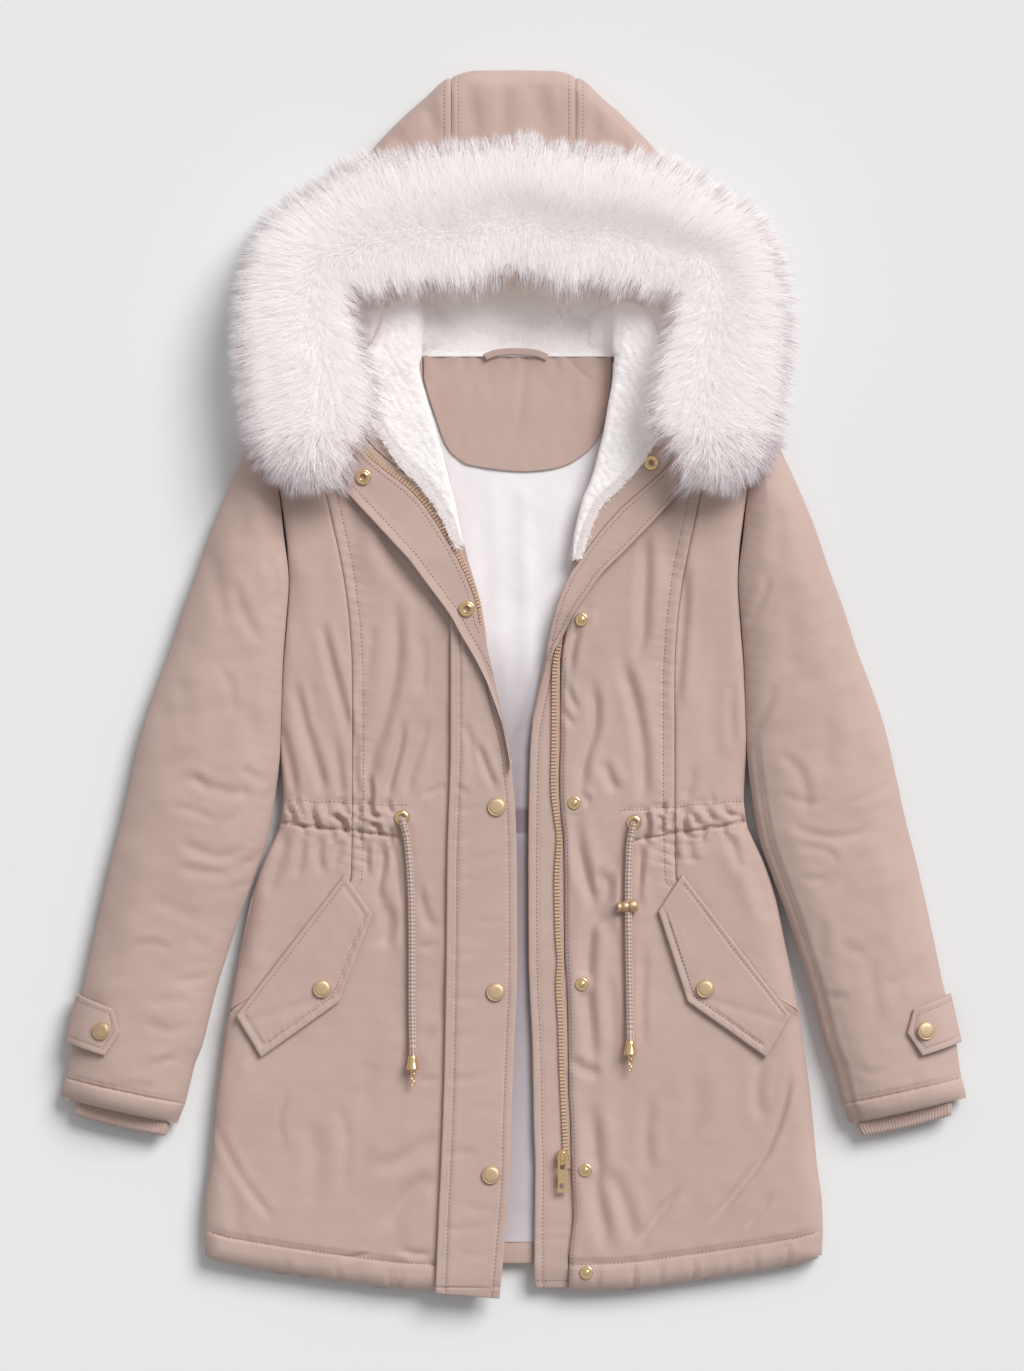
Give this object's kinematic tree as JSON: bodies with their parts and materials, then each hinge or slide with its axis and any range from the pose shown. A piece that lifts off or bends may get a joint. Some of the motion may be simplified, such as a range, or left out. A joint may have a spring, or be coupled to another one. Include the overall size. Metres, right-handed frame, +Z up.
{
  "type": "parka",
  "caption": "Padded hip length parka laid flat with its front up: fur trimmed hood, turned out fleece facings, storm flap, zip, snaps, waist drawcord, slanted pocket flaps and ribbed cuffs",
  "frame": {"origin": "centre of the bounding box on the surface the coat lies on", "axes": "+Y from the hem to the hood, +Z up from the surface out of the coat's front, +X to the wearer's left"},
  "size_m": [0.834, 1.13, 0.0998],
  "materials": {
    "shell_cotton": "matt cotton twill, dusty pink",
    "satin_lining": "smooth satin, white",
    "plush_fleece": "short plush pile, off-white",
    "fur_pile": "long soft pile, white with lilac grey tips",
    "rib_knit": "ribbed knit, dusty pink",
    "zip_tape": "woven tape",
    "cord_cotton": "braided cotton cord",
    "antique_gold": "matt antique gold",
    "bright_gold": "polished pale gold"
  },
  "bodies": {
    "coat": {"back": "shell_cotton", "back_lining": "satin_lining", "back_neck_facing": "shell_cotton", "hanger_loop": "shell_cotton", "front_right": "shell_cotton", "front_right_side": "shell_cotton", "front_left": "shell_cotton", "front_left_side": "shell_cotton", "storm_flap": "shell_cotton", "storm_flap_turnback": "shell_cotton", "zip_tape_right": "zip_tape", "facing_right": "shell_cotton", "fleece_facing_right": "plush_fleece", "zip_guard": "shell_cotton", "zip_guard_turnback": "shell_cotton", "zip_tape_left": "zip_tape", "facing_left": "shell_cotton", "fleece_facing_left": "plush_fleece", "zip_slider": "bright_gold", "snap_cap_1": "antique_gold", "snap_cap_2": "antique_gold", "snap_cap_3": "antique_gold", "snap_socket_1": "bright_gold", "snap_socket_2": "bright_gold", "snap_stud_1": "bright_gold", "snap_stud_2": "bright_gold", "snap_stud_3": "bright_gold", "snap_stud_4": "bright_gold", "snap_stud_5": "bright_gold", "snap_stud_6": "bright_gold", "pocket_flap_right": "shell_cotton", "pocket_flap_left": "shell_cotton", "pocket_cap_right": "antique_gold", "pocket_cap_left": "antique_gold", "sleeve_right_top": "shell_cotton", "sleeve_right_under": "shell_cotton", "sleeve_left_top": "shell_cotton", "sleeve_left_under": "shell_cotton", "rib_cuff_right": "rib_knit", "rib_cuff_left": "rib_knit", "cuff_tab_right": "shell_cotton", "cuff_tab_left": "shell_cotton", "cuff_cap_right": "antique_gold", "cuff_cap_left": "antique_gold", "eyelet_right": "bright_gold", "eyelet_left": "bright_gold", "drawcord_right": "cord_cotton", "drawcord_left": "cord_cotton", "cord_end_right": "bright_gold", "cord_end_left": "bright_gold", "cord_stopper": "antique_gold", "hood_centre": "shell_cotton", "hood_side_right": "shell_cotton", "hood_side_left": "shell_cotton", "hood_lining": "plush_fleece", "fur_trim": "fur_pile"},
    "pull": {"zip_pull": "bright_gold"}
  },
  "joints": [
    {"name": "pull_hinge", "type": "hinge", "parent": "coat", "child": "pull", "pos_m": [0.0452, -0.434, 0.0295], "axis": [-1, 0, 0], "range_deg": [0, 150]}
  ]
}
